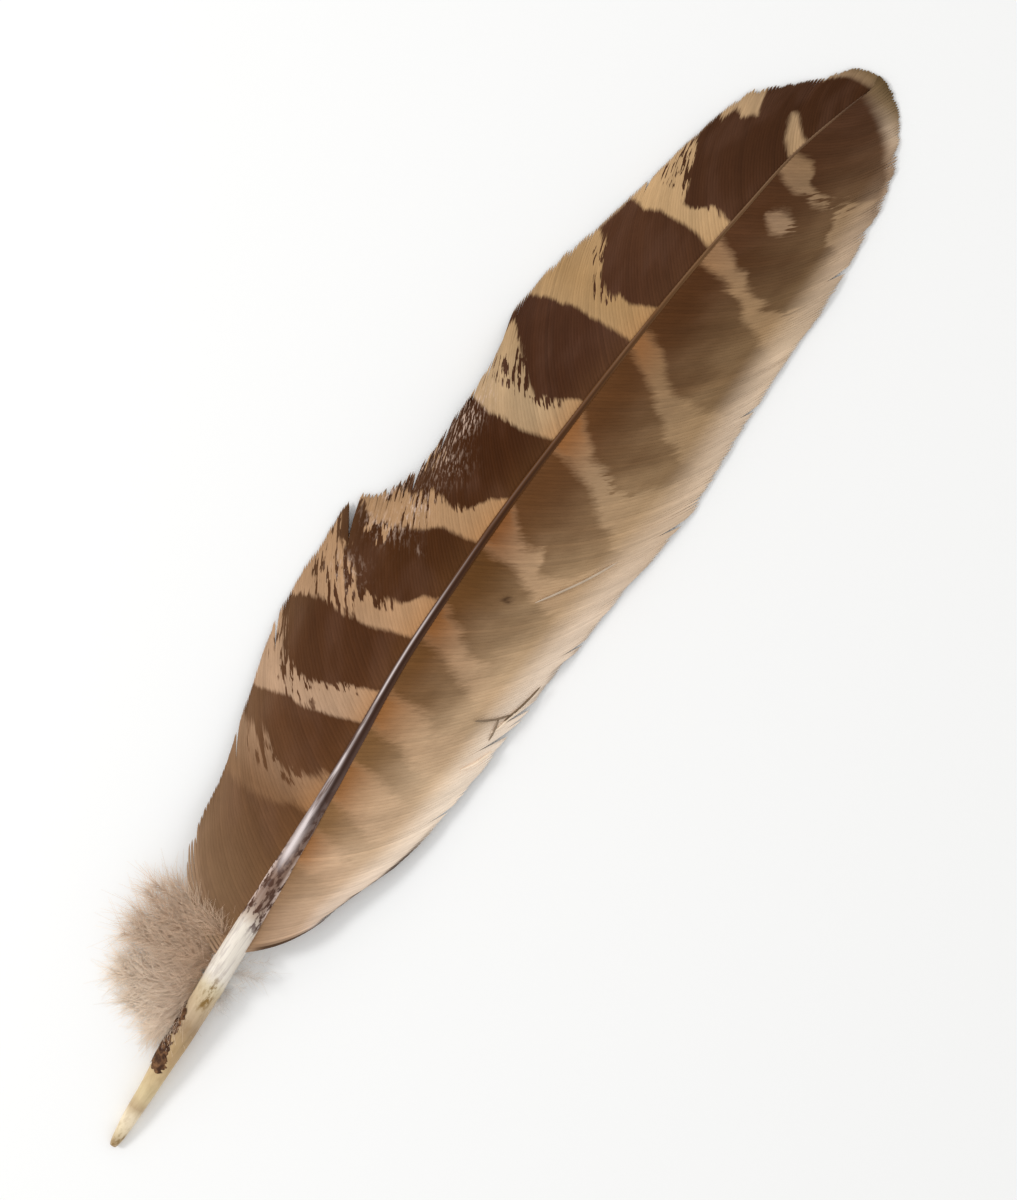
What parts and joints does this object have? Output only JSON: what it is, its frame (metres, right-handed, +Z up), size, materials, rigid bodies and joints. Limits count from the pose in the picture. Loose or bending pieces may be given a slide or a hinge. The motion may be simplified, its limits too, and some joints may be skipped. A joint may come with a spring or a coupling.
{
  "type": "turkey wing feather",
  "caption": "Barred brown wing feather lying flat, upper side up: horn shaft with a bare quill, dark leading vane, paler trailing vane and grey down at the base.",
  "frame": {"origin": "on the surface that the feather lies on, under the middle of its bounding box", "axes": "+Y along the shaft from the quill's end to the vane's tip, +X to the trailing vane, +Z up, away from the surface on the feather's upper side"},
  "size_m": [0.035, 0.1601, 0.0067],
  "materials": {
    "quill_horn": "satin",
    "dark_vane": "satin",
    "pale_vane": "satin",
    "grey_down": "matte"
  },
  "bodies": {
    "root": {"shaft": "quill_horn", "leading_vane": "dark_vane", "trailing_vane": "pale_vane", "leading_down": "grey_down", "trailing_down": "grey_down"}
  },
  "joints": []
}
